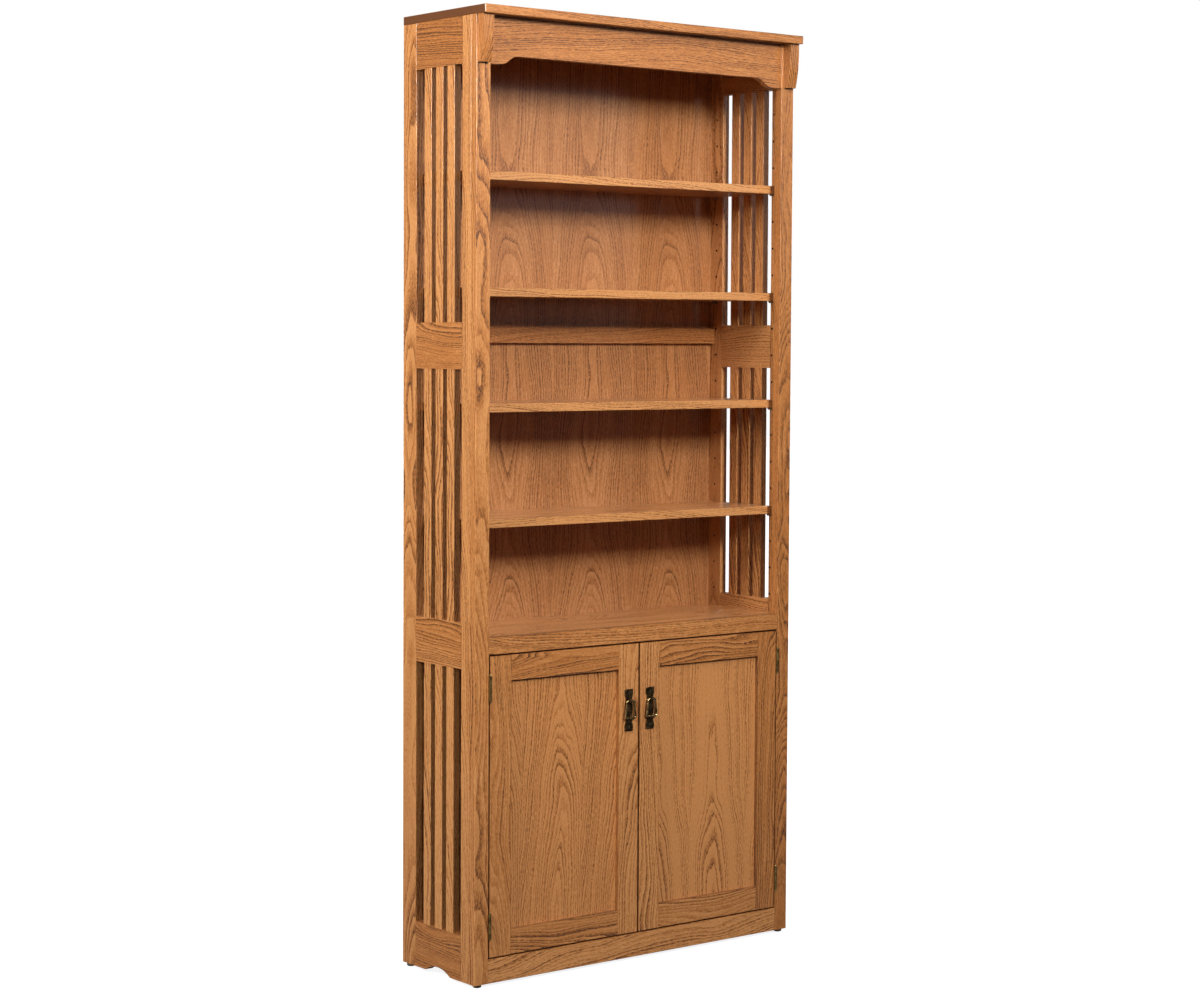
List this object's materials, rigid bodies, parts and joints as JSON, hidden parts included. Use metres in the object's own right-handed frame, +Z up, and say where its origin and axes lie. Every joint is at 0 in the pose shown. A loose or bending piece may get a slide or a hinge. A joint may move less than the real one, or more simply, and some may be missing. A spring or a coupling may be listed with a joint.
{
  "type": "bookcase with cabinet doors",
  "caption": "Tall oak bookcase with slatted open sides, adjustable shelves on pins and a low cabinet with two inset panel doors on butt hinges with drop pulls.",
  "frame": {"origin": "on the floor under the middle of the overall box", "axes": "+Z up, the doors and open front face -Y, +X to the right of someone who looks at the front"},
  "size_m": [0.919, 0.314, 2.134],
  "materials": {
    "oak_frame": "solid oak, honey stain, satin lacquer",
    "oak_board": "oak boards, honey stain, satin lacquer",
    "oak_panel": "oak veneered panels, honey stain, satin lacquer",
    "antique_brass": "aged brass, satin",
    "dark_bronze": "dark bronze patina with rubbed edges",
    "plated_steel": "zinc plated steel",
    "glide_nylon": "dark moulded nylon"
  },
  "bodies": {
    "case": {"apron": "oak_frame", "corbel_left": "oak_frame", "corbel_right": "oak_frame", "face_stile_left": "oak_frame", "face_stile_right": "oak_frame", "counter_rail": "oak_frame", "base_rail": "oak_frame", "front_stile_left": "oak_frame", "front_stile_right": "oak_frame", "rear_stile_left": "oak_frame", "rear_stile_right": "oak_frame", "top_rail_left": "oak_frame", "top_rail_right": "oak_frame", "middle_rail_left": "oak_frame", "middle_rail_right": "oak_frame", "lower_rail_left": "oak_frame", "lower_rail_right": "oak_frame", "bottom_rail_left": "oak_frame", "bottom_rail_right": "oak_frame", "open_slats_left": "oak_frame", "open_slats_right": "oak_frame", "cabinet_slats_left": "oak_frame", "cabinet_slats_right": "oak_frame", "back_rail": "oak_frame", "top_board": "oak_board", "counter_board": "oak_board", "floor_board": "oak_board", "lower_back": "oak_panel", "upper_back": "oak_panel", "frame_hinge_leaves": "antique_brass", "hinge_pins": "antique_brass", "case_screws": "antique_brass", "magnetic_catch": "glide_nylon", "shelf_pins": "plated_steel", "glides": "glide_nylon"},
    "left_door": {"hinge_stile_left": "oak_frame", "lock_stile_left": "oak_frame", "door_top_rail_left": "oak_frame", "door_bottom_rail_left": "oak_frame", "door_panel_left": "oak_panel", "door_hinge_leaves_left": "antique_brass", "pull_plate_left": "dark_bronze", "strike_left": "plated_steel", "door_screws_left": "antique_brass"},
    "left_bail": {"pull_bail_left": "dark_bronze"},
    "right_door": {"hinge_stile_right": "oak_frame", "lock_stile_right": "oak_frame", "door_top_rail_right": "oak_frame", "door_bottom_rail_right": "oak_frame", "door_panel_right": "oak_panel", "door_hinge_leaves_right": "antique_brass", "pull_plate_right": "dark_bronze", "strike_right": "plated_steel", "door_screws_right": "antique_brass"},
    "right_bail": {"pull_bail_right": "dark_bronze"},
    "first_shelf": {"shelf_1": "oak_board"},
    "second_shelf": {"shelf_2": "oak_board"},
    "third_shelf": {"shelf_3": "oak_board"},
    "fourth_shelf": {"shelf_4": "oak_board"},
    "inner_shelf": {"cabinet_shelf": "oak_board"}
  },
  "joints": [
    {"name": "left_door_hinge", "type": "hinge", "parent": "case", "child": "left_door", "pos_m": [-0.42, -0.128, 0.39625], "axis": [0, 0, -1], "range_deg": [0, 170]},
    {"name": "right_door_hinge", "type": "hinge", "parent": "case", "child": "right_door", "pos_m": [0.42, -0.128, 0.39625], "axis": [0, 0, 1], "range_deg": [0, 170]},
    {"name": "left_bail_swing", "type": "hinge", "parent": "left_door", "child": "left_bail", "pos_m": [-0.031, -0.132, 0.5995], "axis": [-1, 0, 0], "range_deg": [0, 100]},
    {"name": "right_bail_swing", "type": "hinge", "parent": "right_door", "child": "right_bail", "pos_m": [0.031, -0.132, 0.5995], "axis": [-1, 0, 0], "range_deg": [0, 100]},
    {"name": "first_shelf_lift", "type": "slide", "parent": "case", "child": "first_shelf", "axis": [0, 0, 1], "range_m": [0, 0.025]},
    {"name": "second_shelf_lift", "type": "slide", "parent": "case", "child": "second_shelf", "axis": [0, 0, 1], "range_m": [0, 0.025]},
    {"name": "third_shelf_lift", "type": "slide", "parent": "case", "child": "third_shelf", "axis": [0, 0, 1], "range_m": [0, 0.025]},
    {"name": "fourth_shelf_lift", "type": "slide", "parent": "case", "child": "fourth_shelf", "axis": [0, 0, 1], "range_m": [0, 0.025]},
    {"name": "inner_shelf_lift", "type": "slide", "parent": "case", "child": "inner_shelf", "axis": [0, 0, 1], "range_m": [0, 0.025]}
  ]
}
